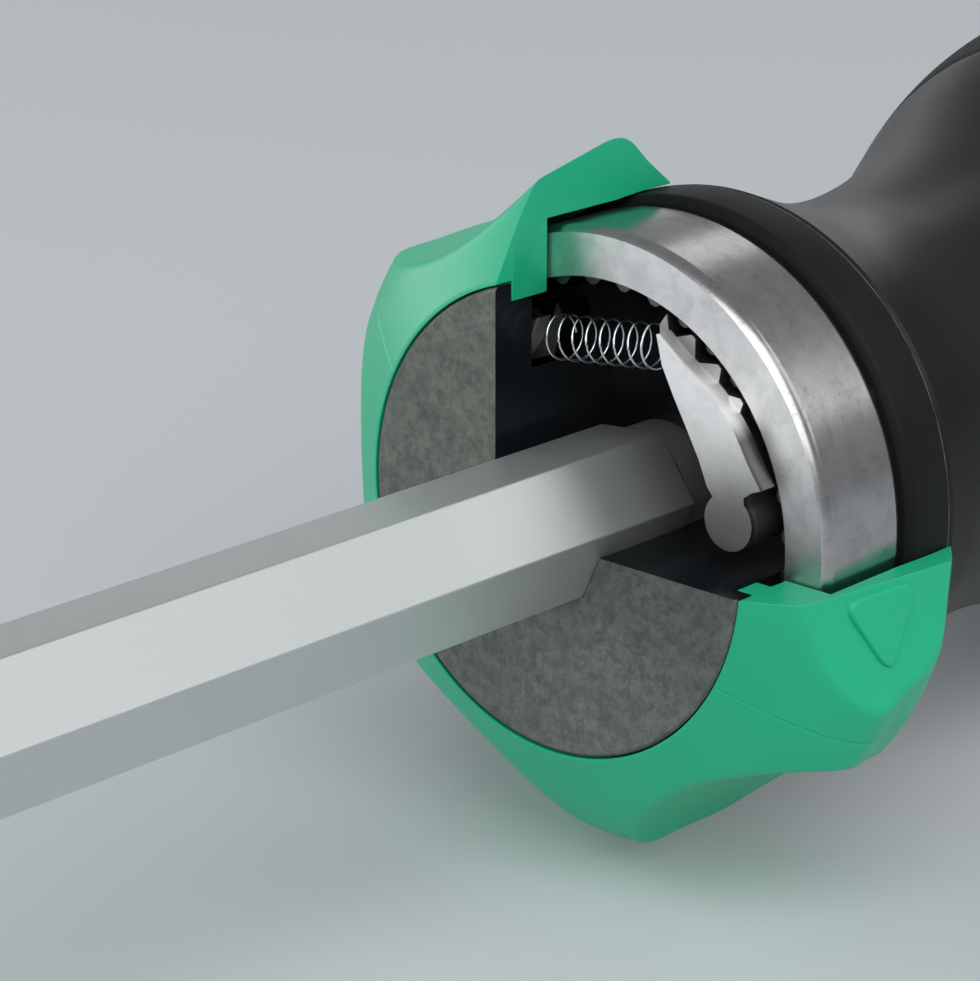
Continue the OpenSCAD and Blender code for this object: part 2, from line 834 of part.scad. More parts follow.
module soft_grip() {
    outer = concat(
        [for (i = [0 : 6]) bulge_at(grip_at + (bulb_at - grip_at) * i / 6)],
        [for (i = [0 : 10]) taper(i / 10)]
    );
    inner = [for (i = [len(outer) - 1 : -1 : 0]) outer[i] - [grip_t, 0]];
    flute_x = (bulb_end + grip_end) / 2;
    color([0.23, 0.24, 0.25])
        difference() {
            turned()
                polygon(concat(outer, inner));
            for (i = [0 : flutes - 1])
                rotate([90 + 360 / flutes * (i + 0.5), 0, 0])
                    translate([blade_reach + flute_x, bulb_r + flute_r - flute_depth, 0])
                        rotate([0, 0, -3])
                            rotate([0, 90, 0])
                                cylinder(r = flute_r, h = grip_len + cap_len, center = true);
        }
}

module end_cap() {
    dome_at = grip_end + seat;
    edge = 3;
    color([0.12, 0.12, 0.13])
        union() {
            turned()
                polygon(concat(
                    [[0, dome_at], [cap_r - 0.2, dome_at], [cap_r, dome_at + 0.2], [cap_r, dome_at + edge]],
                    [
                        for (i = [1 : 10])
                            let (a = 9 * i)
                            [
                                cap_face_r + (cap_r - cap_face_r) * cos(a),
                                dome_at + edge + (cap_len - edge) * sin(a)
                            ]
                    ],
                    [[0, dome_at + cap_len]]
                ));
            rod(hollow_r - fixed, grip_end - plug_len, dome_at + over, fn = 96);
        }
}

module holder_sleeve() {
    back = -blade_reach;
    end = back + holder_len;
    magnet_at = back + socket_depth;
    color("lightgray")
        difference() {
            turned()
                polygon([
                    [0, back], [holder_r - 0.8, back], [holder_r, back + 0.8],
                    [holder_r, end - 1.6], [holder_r - 1, end], [0, end]
                ]);
            hex_rod(socket_r, back - over, magnet_at);
            rod(magnet_d / 2 + fixed, magnet_at - fixed, magnet_at + magnet_t + seat);
            hex_rod(blade_hole_r, magnet_at + magnet_t + holder_web, end + over);
        }
}

module holder_magnet() {
    color("dimgray")
        rod(magnet_d / 2, socket_depth - blade_reach, socket_depth + magnet_t - blade_reach);
}

module screwdriver_bit() {
    at = -blade_reach;
    tip_r = bit_point_d / 2;
    neck = bit_neck_d / 2;
    clear_r = blade_r + 0.1;
    color("gray")
        difference() {
            union() {
                intersection() {
                    hex_rod(blade_r, bit_shoulder + at, bit_back + at);
                    turned(48)
                        polygon([
                            [0, bit_shoulder + at], [blade_r - 0.5, bit_shoulder + at],
                            [clear_r, bit_shoulder + at + 0.7], [clear_r, bit_notch_at + at - 0.6],
                            [blade_r - 0.3, bit_notch_at + at], [clear_r, bit_notch_at + at + 0.6],
                            [clear_r, bit_back + at - 0.7], [blade_r - 0.5, bit_back + at], [0, bit_back + at]
                        ]);
                }
                turned(48)
                    polygon([
                        [0, bit_front + at], [tip_r, bit_front + at], [neck, bit_cone_at + at],
                        [neck, bit_shoulder + at + over], [0, bit_shoulder + at + over]
                    ]);
            }
            for (i = [0 : 3])
                rotate([45 + 90 * i, 0, 0])
                    translate([bit_front - over, tip_r * 0.62, 0])
                        rotate([0, 0, 20])
                            rotate([45, 0, 0])
                                cube([bit_cone_at - bit_front + 2 * over, bit_cut, bit_cut]);
        }
}

hex_blade();
hub();
pawl_pin_right();
pawl_pin_left();
pawl_right();
pawl_left();
pawl_spring();
selector_ring();
detent_ball();
detent_spring();
tooth_ring();
ring_dowels();
collar_ring();
thrust_washer();
journal_bush();
shaft_washer();
retaining_ring();
handle_core();
soft_grip();
end_cap();
holder_sleeve();
holder_magnet();
screwdriver_bit();
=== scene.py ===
import json
from math import acos, asin, cos, degrees, hypot, pi, radians, sin, sqrt, tan

import bmesh
import bpy
from mathutils import Matrix, Vector


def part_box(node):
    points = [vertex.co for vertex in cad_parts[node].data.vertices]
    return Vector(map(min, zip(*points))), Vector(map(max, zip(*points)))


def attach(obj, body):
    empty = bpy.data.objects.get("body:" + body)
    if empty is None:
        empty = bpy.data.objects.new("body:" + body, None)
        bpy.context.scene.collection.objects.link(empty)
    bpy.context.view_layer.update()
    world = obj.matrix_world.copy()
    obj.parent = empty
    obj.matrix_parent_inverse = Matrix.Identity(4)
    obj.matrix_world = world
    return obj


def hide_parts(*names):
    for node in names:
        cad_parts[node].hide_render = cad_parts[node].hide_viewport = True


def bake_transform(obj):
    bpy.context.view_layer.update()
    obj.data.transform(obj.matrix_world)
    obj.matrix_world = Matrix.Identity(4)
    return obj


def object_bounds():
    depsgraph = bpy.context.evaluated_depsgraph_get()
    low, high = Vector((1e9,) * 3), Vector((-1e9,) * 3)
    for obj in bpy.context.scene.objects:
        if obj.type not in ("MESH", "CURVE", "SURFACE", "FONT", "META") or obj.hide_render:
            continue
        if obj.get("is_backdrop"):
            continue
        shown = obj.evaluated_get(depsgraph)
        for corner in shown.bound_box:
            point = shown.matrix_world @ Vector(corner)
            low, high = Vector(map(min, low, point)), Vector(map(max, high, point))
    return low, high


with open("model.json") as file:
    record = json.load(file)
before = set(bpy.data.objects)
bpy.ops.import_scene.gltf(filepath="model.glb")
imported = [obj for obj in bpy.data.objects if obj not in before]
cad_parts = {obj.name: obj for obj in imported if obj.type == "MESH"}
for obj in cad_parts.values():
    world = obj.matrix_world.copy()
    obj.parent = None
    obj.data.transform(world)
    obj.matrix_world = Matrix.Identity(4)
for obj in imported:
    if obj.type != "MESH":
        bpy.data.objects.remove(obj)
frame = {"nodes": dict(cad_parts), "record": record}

bl_info = {
    "name": "Ratcheting screwdriver, head cut away",
    "version": (1, 0, 0),
    "blender": (4, 5, 0),
    "location": "View3D > Sidebar > Screwdriver",
    "description": "Builds a ratcheting screwdriver whose head is shown with a quarter cut away",
    "category": "Add Mesh",
}

MM = 0.001
# The hub's front face, from which places along the head are measured, in millimetres
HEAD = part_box("hub")[0].x / MM
# The middle of that face, round which the lamps and the camera stand, in metres
FOCUS = Vector((HEAD * MM, 0, 0))


# Shader maths


class Wire:
    """A socket of a finish. Arithmetic on it adds Math nodes."""

    def __init__(self, finish, socket):
        self.finish, self.socket = finish, socket

    def _math(self, operation, *values):
        return self.finish.node("Math", dict(enumerate(values)), operation=operation)

    def __add__(self, other):
        return self._math("ADD", self, other)

    def __sub__(self, other):
        return self._math("SUBTRACT", self, other)

    def __rsub__(self, other):
        return self._math("SUBTRACT", other, self)

    def __mul__(self, other):
        return self._math("MULTIPLY", self, other)

    def __pow__(self, other):
        return self._math("POWER", self, other)

    def __abs__(self):
        return self._math("ABSOLUTE", self)

    __radd__, __rmul__ = __add__, __mul__

    def between(self, low, high):
        """Goes softly from 0 to 1 as the value goes from low to high, or down to it."""
        inputs = {"Value": self, "From Min": low, "From Max": high}
        return self.finish.node("MapRange", inputs, clamp=True, interpolation_type="SMOOTHSTEP")


class Finish:
    """A material under construction."""

    def __init__(self, name):
        self.material = bpy.data.materials.new(name)
        self.material.use_nodes = True
        self.tree = self.material.node_tree
        self.shader = self.tree.nodes["Principled BSDF"]

    def node(self, kind, inputs=None, output=0, **settings):
        """Adds a node, sets it up, feeds its sockets and gives one of its outputs."""
        made = self.tree.nodes.new("ShaderNode" + kind)
        for name, value in settings.items():
            setattr(made, name, value)
        for key, value in (inputs or {}).items():
            self.feed(made.inputs[key], value)
        return Wire(self, made.outputs[output])

    def feed(self, socket, value):
        """Links a wire to a socket or sets the socket's own value."""
        if isinstance(value, Wire):
            self.tree.links.new(value.socket, socket)
        elif socket.type == "RGBA":
            socket.default_value = (*value, 1)
        else:
            socket.default_value = value

    def set(self, **sockets):
        """Feeds the shader's own sockets, named with underscores for spaces."""
        for name, value in sockets.items():
            self.feed(self.shader.inputs[name.replace("_", " ")], value)

    def spot(self, stretch=(1, 1, 1)):
        """Places on the piece in millimetres, with each direction scaled."""
        place = self.node("TexCoord", output=3)
        scale = tuple(s / MM for s in stretch)
        return self.node("VectorMath", {0: place, 1: scale}, operation="MULTIPLY")

    def place(self, axis):
        """Place along an axis of the tool in millimetres."""
        return self.node("SeparateXYZ", {0: self.spot()}, output="XYZ".index(axis))

    def along(self):
        """Place along the tool in millimetres behind the hub's front face."""
        return self.place("X") - HEAD

    def facing_back(self):
        """How far the surface faces back along the tool, from -1 to 1."""
        return self.node("SeparateXYZ", {0: self.node("TexCoord", output=1)})

    def noise(self, scale, detail=2.0, roughness=0.5, stretch=(1, 1, 1), distortion=0.0):
        """Cloudy values from 0 to 1, with so many clouds in a millimetre."""
        inputs = {
            "Vector": self.spot(stretch),
            "Scale": scale,
            "Detail": detail,
            "Roughness": roughness,
            "Distortion": distortion,
        }
        return self.node("TexNoise", inputs)

    def cells(self, scale):
        """Distances from scattered points, with so many points in a millimetre."""
        return self.node("TexVoronoi", {"Vector": self.spot(), "Scale": scale})

    def mix(self, share, first, second):
        """One colour turning into another as share goes from 0 to 1."""
        return self.node("Mix", {0: share, 6: first, 7: second}, output=2, data_type="RGBA")

    def bump(self, height, depth):
        """A normal from a height from 0 to 1 that stands so many millimetres proud."""
        return self.node("Bump", {"Height": height, "Distance": depth * MM, "Strength": 1.0})


def toned(colour, factor):
    """A colour made paler or darker by a factor."""
    return [c * factor for c in colour]


def satin_nickel(finish, looks):
    """Satin nickel plate on the blade and its bit holder."""
    grain = finish.noise(9, 3, 0.7)
    clouds = finish.noise(0.35, 2, 0.5)
    fine = finish.noise(26, 2, 0.6)
    paler = grain * 0.55 + clouds * 0.45
    finish.set(
        Base_Color=finish.mix(paler, toned(looks.nickel, 0.88), looks.nickel),
        Metallic=0.82,
        Roughness=0.36 + 0.08 * grain + 0.06 * clouds,
        Normal=finish.bump(fine * 0.6 + grain * 0.4, 0.005),
    )


def sintered_steel(finish, looks):
    """Pressed and sintered steel of the hub: mottled outside, oiled and dark where it is cut."""
    mottle = finish.noise(1.7, 5, 0.68, distortion=0.35) * 0.7 + finish.noise(5.5, 3, 0.7) * 0.3
    clouds = finish.noise(0.4, 2, 0.5)
    flecks = finish.cells(7).between(0.05, 0.32)
    # Only the front face is dry; everything behind it is oiled
    front = (0 - finish.facing_back()).between(0.3, 0.6) * finish.along().between(0.45, 0.3)
    mottled = finish.mix(mottle.between(0.34, 0.66), looks.sinter_dark, looks.sinter_pale)
    dry = finish.mix(clouds.between(0.25, 0.75) * 0.3, mottled, looks.sinter_dark)
    finish.set(
        Base_Color=finish.mix(front, looks.oil_black_and_shade, dry),
        Metallic=front * 0.3,
        Roughness=front * 0.4 + 0.18 + mottle * 0.08,
        Specular_IOR_Level=0.45,
        Normal=finish.bump((mottle * 0.6 + flecks * 0.4) * front, 0.02),
    )


def turned_steel(finish, looks):
    """Hardened steel of the tooth ring: ground faces, darker outside, painted shade on the teeth
    and low down.
    """
    stains = finish.noise(0.7, 3, 0.6, distortion=0.4).between(0.35, 0.7)
    grain = finish.noise(9, 4, 0.72)
    specks = finish.noise(4.5, 4, 0.75).between(0.5, 0.64) * stains
    ground = abs(finish.facing_back()).between(0.55, 0.95)
    across, height = finish.place("Y"), finish.place("Z")
    # The teeth lie inside a radius of 10.9 mm and get painted shade; the front face gets painted
    # shade towards its lower half
    teeth = ((across * across + height * height) ** 0.5).between(10.92, 10.8)
    painted_low_shade = height.between(7.5, -0.5) * 0.45 * ground
    clean = finish.mix(ground, looks.ring_steel, looks.ground_steel)
    tone = finish.mix(teeth * 0.85, clean, looks.oil_black_and_shade)
    # Stains and specks, with the painted shade low on the front face added
    darkening = stains * 0.3 + specks * 0.45 * (1 - ground * 0.7) + painted_low_shade
    finish.set(
        Base_Color=finish.mix(darkening, tone, finish.mix(0.7, tone, looks.stain_and_shade)),
        Metallic=1.0,
        Roughness=0.2 + 0.08 * grain + 0.12 * ground,
        Normal=finish.bump(grain, 0.0012),
    )


def tumbled_steel(finish, looks):
    """Bright tumbled steel of the pawls, with painted shade on their flanks, the left pawl, the
    recess and low down.
    """
    stains = finish.noise(0.9, 3, 0.6, distortion=0.4).between(0.4, 0.75)
    grain = finish.noise(9, 4, 0.72)
    specks = finish.noise(4.5, 4, 0.75).between(0.56, 0.76)
    height, along = finish.place("Z"), finish.along()
    # Painted shade over the left pawl
    left = finish.place("Y").between(-0.5, 1.2)
    # Painted shade on the flanks that face sideways
    flank = abs(finish.facing_back()).between(0.9, 0.5)
    # Painted shade, deepening towards the foot
    painted_low_shade = height.between(8.2, 1.4)
    # The recess lies behind the front plate and gets painted shade, deepest up high; up high, the
    # wall between the two is kept out of the painted shade on the flanks
    recess = along.between(2.68, 2.85)
    wall = (1 - along.between(3.5, 3.62)) * height.between(5.2, 6.2)
    worn = finish.mix(stains * 0.3 + specks * 0.35, looks.pawl_steel, toned(looks.pawl_steel, 0.6))
    darkening = recess * (0.15 + height.between(7.2, 8.6) * 0.5) + painted_low_shade * 0.92 * (1 - recess)
    tone = finish.mix(darkening, worn, looks.stain_and_shade)
    finish.set(
        Base_Color=finish.mix(flank * 0.8 * (1 - wall) + left * 0.75, tone, looks.oil_black_and_shade),
        Metallic=0.9 - 0.5 * flank * wall,
        Roughness=0.32 + 0.14 * grain,
        Normal=finish.bump(grain, 0.0025),
    )


def drawn_wire(finish, looks):
    """Bright drawn spring wire."""
    draw = finish.noise(6, 2, 0.6)
    finish.set(
        Base_Color=finish.mix(draw, toned(looks.wire_steel, 0.85), looks.wire_steel),
        Metallic=1.0,
        Roughness=0.16 + 0.12 * draw,
        Normal=finish.bump(draw, 0.003),
    )


def ground_steel(finish, looks):
    """Ground pins, balls and washers."""
    draw = finish.noise(5, 2, 0.6, stretch=(0.4, 2, 2))
    finish.set(
        Base_Color=finish.mix(draw, toned(looks.ring_steel, 0.8), looks.ring_steel),
        Metallic=1.0,
        Roughness=0.2 + 0.12 * draw,
        Normal=finish.bump(draw, 0.004),
    )


def green_moulding(finish, looks):
    """Satin moulded plastic of the selector ring."""
    grain = finish.noise(14, 2, 0.5)
    flow = finish.noise(0.22, 2, 0.5)
    paler = flow.between(0.3, 0.7) * 0.6 + grain * 0.08
    finish.set(
        Base_Color=finish.mix(paler, looks.green, toned(looks.green, 1.07)),
        Roughness=0.36 + 0.06 * grain,
        Specular_IOR_Level=0.36,
        Normal=finish.bump(grain, 0.004),
    )


def black_oxide(finish, looks):
    """Smooth black collar, with a thin painted highlight along its rear edge."""
    clouds = finish.noise(0.8, 3, 0.6)
    grain = finish.noise(10, 2, 0.6)
    # The collar's rear face stands 12.24 mm behind the hub's front; the painted highlight runs
    # just before it
    edge = finish.along().between(12.12, 12.2) * clouds.between(0.3, 0.6)
    hazy = [c * 1.5 + 0.002 for c in looks.collar_black]
    black = finish.mix(clouds, looks.collar_black, hazy)
    finish.set(
        Base_Color=finish.mix(edge * 0.8, black, looks.painted_edge_highlight),
        Roughness=0.44 + 0.08 * grain + 0.05 * clouds,
        Specular_IOR_Level=0.12,
        Normal=finish.bump(grain, 0.003),
    )


def oiled_bronze(finish, looks):
    """Oil-filled bronze of the bush and thrust washer."""
    pores = finish.cells(6).between(0.05, 0.25)
    clouds = finish.noise(0.7, 3, 0.6)
    finish.set(
        Base_Color=finish.mix(clouds, toned(looks.bronze, 0.6), looks.bronze),
        Metallic=1.0,
        Roughness=0.3 + 0.15 * clouds,
        Normal=finish.bump(pores, 0.01),
    )


def handle_plastic(finish, looks):
    """Hard satin black plastic of the handle."""
    grain = finish.noise(7, 3, 0.6)
    clouds = finish.noise(0.12, 2, 0.5)
    finish.set(
        Base_Color=finish.mix(clouds, looks.handle_black, toned(looks.handle_black, 1.25)),
        Roughness=0.33 + 0.08 * grain,
        Specular_IOR_Level=0.3,
        Normal=finish.bump(grain, 0.003),
    )


def grip_rubber(finish, looks):
    """Softer dark grey grip material with a fine matt grain."""
    grain = finish.cells(3.2).between(0.0, 0.6)
    clouds = finish.noise(0.1, 3, 0.6)
    finish.set(
        Base_Color=finish.mix(clouds, looks.grip_grey, toned(looks.grip_grey, 1.2)),
        Roughness=0.56 + 0.1 * grain,
        Specular_IOR_Level=0.12,
        Normal=finish.bump(grain, 0.02),
    )


def plated_magnet(finish, looks):
    """Dull plated magnet."""
    clouds = finish.noise(1.2, 3, 0.6)
    finish.set(
        Base_Color=finish.mix(clouds, (0.3, 0.3, 0.31), (0.42, 0.42, 0.43)),
        Metallic=1.0,
        Roughness=0.34 + 0.1 * clouds,
        Normal=finish.bump(clouds, 0.004),
    )


def bit_steel(finish, looks):
    """Grey phosphated tool steel of the bit."""
    grain = finish.noise(7, 4, 0.7)
    clouds = finish.noise(0.8, 2, 0.5)
    paler = grain * 0.5 + clouds * 0.5
    finish.set(
        Base_Color=finish.mix(paler, toned(looks.bit_grey, 0.6), looks.bit_grey),
        Metallic=0.85,
        Roughness=0.36 + 0.16 * grain,
        Normal=finish.bump(grain, 0.01),
    )


FINISHES = {
    "blade_steel": satin_nickel,
    "sintered_steel": sintered_steel,
    "pin_steel": ground_steel,
    "pawl_steel": tumbled_steel,
    "spring_wire": drawn_wire,
    "green_plastic": green_moulding,
    "ring_steel": turned_steel,
    "black_collar": black_oxide,
    "bearing_bronze": oiled_bronze,
    "handle_plastic": handle_plastic,
    "grip_rubber": grip_rubber,
    "magnet": plated_magnet,
    "bit_steel": bit_steel,
}


def finish_of(slot):
    """The material for a slot of the record, made once."""
    name = "finish_" + slot
    if name not in bpy.data.materials:
        finish = Finish(name)
        FINISHES[slot](finish, bpy.context.scene.screwdriver_looks)
    return bpy.data.materials[name]


def dress(*nodes):
    """Gives CAD nodes that keep their shape the finish of their slot."""
    slots = {n["node"]: n["material_slot"] for n in frame["record"]["subparts"]}
    for node in nodes:
        materials = frame["nodes"][node].data.materials
        materials.clear()
        materials.append(finish_of(slots[node]))


# Mesh making


def place_piece(mesh, body, slot, *nodes):
    """Adds a mesh as a piece that stands for CAD nodes and rides on a body, if one is given."""
    piece = bpy.data.objects.new(mesh.name, mesh)
    bpy.context.collection.objects.link(piece)
    mesh.materials.append(finish_of(slot))
    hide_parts(*nodes)
    if body:
        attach(piece, body)
    return piece


def lay_mesh(name, points, faces, sharp):
    """A mesh from points in millimetres, smooth apart from edges sharper than an angle."""
    mesh = bpy.data.meshes.new(name)
    mesh.from_pydata([tuple(c * MM for c in p) for p in points], [], faces)
    mesh.validate()
    mesh.shade_smooth()
    mesh.set_sharp_from_angle(angle=radians(sharp))
    return mesh


def loft(name, columns, closed, sharp):
    """A skin over a row of loops of points, closed into a ring or by a face at each end."""
    size, count = len(columns[0]), len(columns)
    points = [p for column in columns for p in column]
    faces = []
    for i in range(count if closed else count - 1):
        j = (i + 1) % count
        for k in range(size):
            m = (k + 1) % size
            faces.append((i * size + k, j * size + k, j * size + m, i * size + m))
    if not closed:
        faces.append(tuple(range(size)))
        faces.append(tuple(range((count - 1) * size, count * size))[::-1])
    return lay_mesh(name, points, faces, sharp)


def cap_loft(name, columns, sharp):
    """A closed skin over columns that all start at one point and end at another."""
    size, count = len(columns[0]) - 2, len(columns)
    points = [columns[0][0], columns[0][-1]] + [p for column in columns for p in column[1:-1]]
    faces = []
    for i in range(count):
        here, there = 2 + i * size, 2 + (i + 1) % count * size
        faces.append((0, there, here))
        faces += [(here + k, there + k, there + k + 1, here + k + 1) for k in range(size - 1)]
        faces.append((1, here + size - 1, there + size - 1))
    return lay_mesh(name, points, faces, sharp)


def on_tool(x, r, a):
    """The point at a place behind the hub's front face, a radius and an angle in degrees."""
    return (HEAD + x, r * cos(radians(a)), r * sin(radians(a)))


def fillet(outline, radii, steps=3):
    """An outline whose corners are rounded, each with its own radius."""
    done = []
    for i, (here, radius) in enumerate(zip(outline, radii)):
        if not radius:
            done.append(here)
            continue
        corner = Vector(here)
        u = Vector(outline[i - 1]) - corner
        v = Vector(outline[(i + 1) % len(outline)]) - corner
        reach = min(radius / tan(u.angle(v) / 2), u.length * 0.45, v.length * 0.45)
        start, stop = corner + u.normalized() * reach, corner + v.normalized() * reach
        for k in range(steps + 1):
            t = k / steps
            done.append(tuple(start * (1 - t) ** 2 + corner * 2 * t * (1 - t) + stop * t ** 2))
    return done


def turned(name, outline, steps=192, form=lambda x, r, a: r):
    """A ring turned about the tool's axis from a closed outline of (place, radius)."""
    angles = [360 * i / steps for i in range(steps)]
    columns = [[on_tool(x, form(x, r, a), a) for x, r in outline] for a in angles]
    return loft(name, columns, True, 32)


def softened(name, node, width, segments=2, wider=None, wide=0.0):
    """A copy of a CAD node's mesh with its sharp edges rounded off, some of them more widely."""
    sharp, flat = radians(28), radians(0.3)
    weld, fine_weld = 0.002 * MM, 0.0005 * MM
    work = bmesh.new()
    work.from_mesh(frame["nodes"][node].data)
    bmesh.ops.remove_doubles(work, verts=work.verts, dist=weld)
    bmesh.ops.dissolve_limit(work, angle_limit=flat, verts=work.verts, edges=work.edges)
    passes = [(width, segments, lambda edge: True)]
    if wider:
        passes.insert(0, (wide, 6, wider))
    for offset, steps, chosen in passes:
        edges = [
            e for e in work.edges
            if len(e.link_faces) == 2 and e.calc_face_angle(0) > sharp and chosen(e)
        ]
        bmesh.ops.bevel(
            work, geom=edges, offset=offset * MM, segments=steps, profile=0.5, affect="EDGES",
            clamp_overlap=True)
        bmesh.ops.remove_doubles(work, verts=work.verts, dist=fine_weld)
    mesh = bpy.data.meshes.new(name)
    work.to_mesh(mesh)
    work.free()
    mesh.shade_smooth()
    even_normals(mesh, 40)
    return mesh


def soften_piece(name, node, body, slot, width, **options):
    """Adds the softened copy of a CAD node as the piece that stands for it."""
    place_piece(softened(name, node, width, **options), body, slot, node)


def even_normals(mesh, sharp):
    """Shades a mesh so that large flat faces stay flat and only narrow ones turn."""
    turn = cos(radians(sharp))
    around = [[] for _ in mesh.vertices]
    for face in mesh.polygons:
        for v in face.vertices:
            around[v].append(face)
    normals = []
    for face in mesh.polygons:
        for v in face.vertices:
            near = (f for f in around[v] if f.normal.dot(face.normal) > turn)
            normals.append(sum((f.normal * f.area for f in near), Vector()).normalized())
    mesh.normals_split_custom_set(normals)


def tube(name, points, radius):
    """A round wire along a row of points."""
    sides = 10
    turns = [2 * pi * k / sides for k in range(sides)]
    columns = []
    for i, point in enumerate(points):
        ahead = points[min(i + 1, len(points) - 1)] - points[max(i - 1, 0)]
        across = ahead.cross(Vector((0, 0.3, 1))).normalized()
        over = across.cross(ahead).normalized()
        columns.append([point + (across * cos(t) + over * sin(t)) * radius for t in turns])
    return loft(name, columns, False, 60)


def smooth_least(first, second, k):
    """The lesser of two values, blended where they are within k of each other."""
    h = min(max(0.5 + 0.5 * (second - first) / k, 0), 1)
    return second * (1 - h) + first * h - k * h * (1 - h)


def ease(t):
    """0 to 1 with a soft start and end."""
    t = min(max(t, 0), 1)
    return t * t * (3 - 2 * t)


def curve_through(points, steps):
    """A smooth curve through points, with so many steps from each to the next."""
    done, last = [], len(points) - 1
    for i in range(last):
        four = (points[max(i - 1, 0)], points[i], points[i + 1], points[min(i + 2, last)])
        for k in range(steps):
            t = k / steps
            done.append(tuple(
                (2 * b + (c - a) * t + (2 * a - 5 * b + 4 * c - d) * t * t
                 + (3 * b - a - 3 * c + d) * t ** 3) / 2
                for a, b, c, d in zip(*four)
            ))
    return done + [points[-1]]


def value_at(curve, x):
    """The value at a place of a curve given as a list of (place, value)."""
    for (x0, v0), (x1, v1) in zip(curve, curve[1:]):
        if x0 <= x <= x1:
            return v0 + (v1 - v0) * (x - x0) / (x1 - x0)
    return curve[-1][1]


# Sizes and colours


def colour(name, what, default):
    """A property for the colour of something."""
    return bpy.props.FloatVectorProperty(
        name=name, description="Colour of " + what, subtype="COLOR", size=3, default=default)


class ScrewdriverLooks(bpy.types.PropertyGroup):
    """Colours of the finishes."""

    green: colour("Selector green", "the selector ring", (0.014, 0.445, 0.23))
    nickel: colour("Nickel", "the blade's plating", (0.63, 0.655, 0.65))
    ring_steel: colour("Ring steel", "the tooth ring's outside", (0.44, 0.435, 0.435))
    ground_steel: colour("Ground steel", "the tooth ring's ground faces", (0.8, 0.79, 0.79))
    # Also the colour of the painted shade low on the tooth ring's front and on the pawls
    stain_and_shade: colour("Ring stain", "the stains on the tooth ring", (0.16, 0.155, 0.155))
    pawl_steel: colour("Pawl steel", "the pawls", (0.92, 0.915, 0.92))
    wire_steel: colour("Wire steel", "the springs", (0.78, 0.8, 0.82))
    sinter_pale: colour("Sintered, pale", "the hub's mottle, where pale", (0.185, 0.2, 0.175))
    sinter_dark: colour("Sintered, dark", "the hub's mottle, where dark", (0.085, 0.097, 0.083))
    # Also the colour of the painted shade on the tooth ring's teeth, the pawls' flanks and the
    # left pawl
    oil_black_and_shade: colour("Oiled black", "the hub's cut faces", (0.007, 0.009, 0.011))
    collar_black: colour("Collar black", "the collar", (0.007, 0.008, 0.0075))
    bronze: colour("Bronze", "the bush", (0.55, 0.4, 0.2))
    # The colour of the painted highlight along the collar's rear edge
    painted_edge_highlight: colour("Worn edge", "the bare metal at the collar's rear edge", (0.3, 0.3, 0.3))
    handle_black: colour("Handle black", "the handle's hard plastic", (0.006, 0.0065, 0.0065))
    grip_grey: colour("Grip grey", "the handle's soft grip", (0.026, 0.027, 0.026))
    bit_grey: colour("Bit grey", "the bit", (0.42, 0.42, 0.43))
    floor: colour("Floor", "the floor", (0.6, 0.635, 0.655))


def length(name, description, default):
    """A property for a size, from its default in millimetres."""
    return bpy.props.FloatProperty(
        name=name, description=description, default=default * MM, unit="LENGTH", precision=5)


class ScrewdriverSizes(bpy.types.PropertyGroup):
    """Sizes that shape the pieces made here."""

    blade_edge: length("Blade edge", "Rounding of the blade's long edges", 0.3)
    holder_edge: length("Holder edge", "Rounding of the bit holder's edges", 0.15)
    bit_edge: length("Bit edge", "Rounding of the bit's edges", 0.08)
    hub_edge: length("Hub edge", "Rounding of the hub's edges", 0.05)
    pawl_edge: length("Pawl edge", "Rounding of the pawls' edges", 0.045)
    ring_edge: length("Ring edge", "Rounding of the tooth ring's edges", 0.06)
    rim_edge: length("Rim edge", "Rounding of the tooth ring's outer rim", 0.38)
    lobe_r: length("Lobe radius", "Radius over the selector ring's lobes", 16.85)
    scoop_r: length("Scoop radius", "Radius of a finger scoop", 16.5)
    scoop_min_r: length("Scoop floor", "Radius at the floor of a scoop", 14.45)
    scoop_blend: length("Scoop blend", "Width over which a scoop's edge is blended", 0.3)
    mark_h: length("Mark height", "How far the turning marks stand proud", 0.25)
    wire: length("Spring wire", "Diameter of the pawl spring's wire", 0.115)
    coil_d: length("Coil diameter", "Diameter of the pawl spring over the middle of its wire", 2.1)


class ScrewdriverView(bpy.types.PropertyGroup):
    """Camera and the strength of the world's light."""

    sky: bpy.props.FloatProperty(
        name="Sky", description="How strongly the world lights the tool", default=0.32)
    azimuth: bpy.props.FloatProperty(
        name="Azimuth", description="Camera's direction round the tool", subtype="ANGLE",
        default=radians(-46.83))
    elevation: bpy.props.FloatProperty(
        name="Elevation", description="Camera's height above the horizon", subtype="ANGLE",
        default=radians(18.69))
    distance: length("Distance", "From the camera to the hub's front face", 153.8)
    lens: bpy.props.FloatProperty(
        name="Lens", description="Focal length in millimetres", default=123.4)
    aim: bpy.props.FloatVectorProperty(
        name="Aim", size=2, default=(0.01736, 0.01013),
        description="How far the hub stands right of and below the view's middle, per distance")


# Operators


class SCREWDRIVER_OT_blade(bpy.types.Operator):
    """Makes the hexagonal blade, its bit holder, magnet and bit"""

    bl_idname = "screwdriver.blade"
    bl_label = "Blade and bit holder"

    def execute(self, context):
        sizes = context.scene.screwdriver_sizes
        edge, holder_edge = sizes.blade_edge / MM, sizes.holder_edge / MM
        soften_piece("blade", "hex_blade", "hub_and_blade", "blade_steel", edge, segments=4)
        soften_piece("bit_holder", "holder_sleeve", "hub_and_blade", "blade_steel", holder_edge)
        soften_piece("bit", "screwdriver_bit", "bit", "bit_steel", sizes.bit_edge / MM)
        dress("holder_magnet")
        return {"FINISHED"}


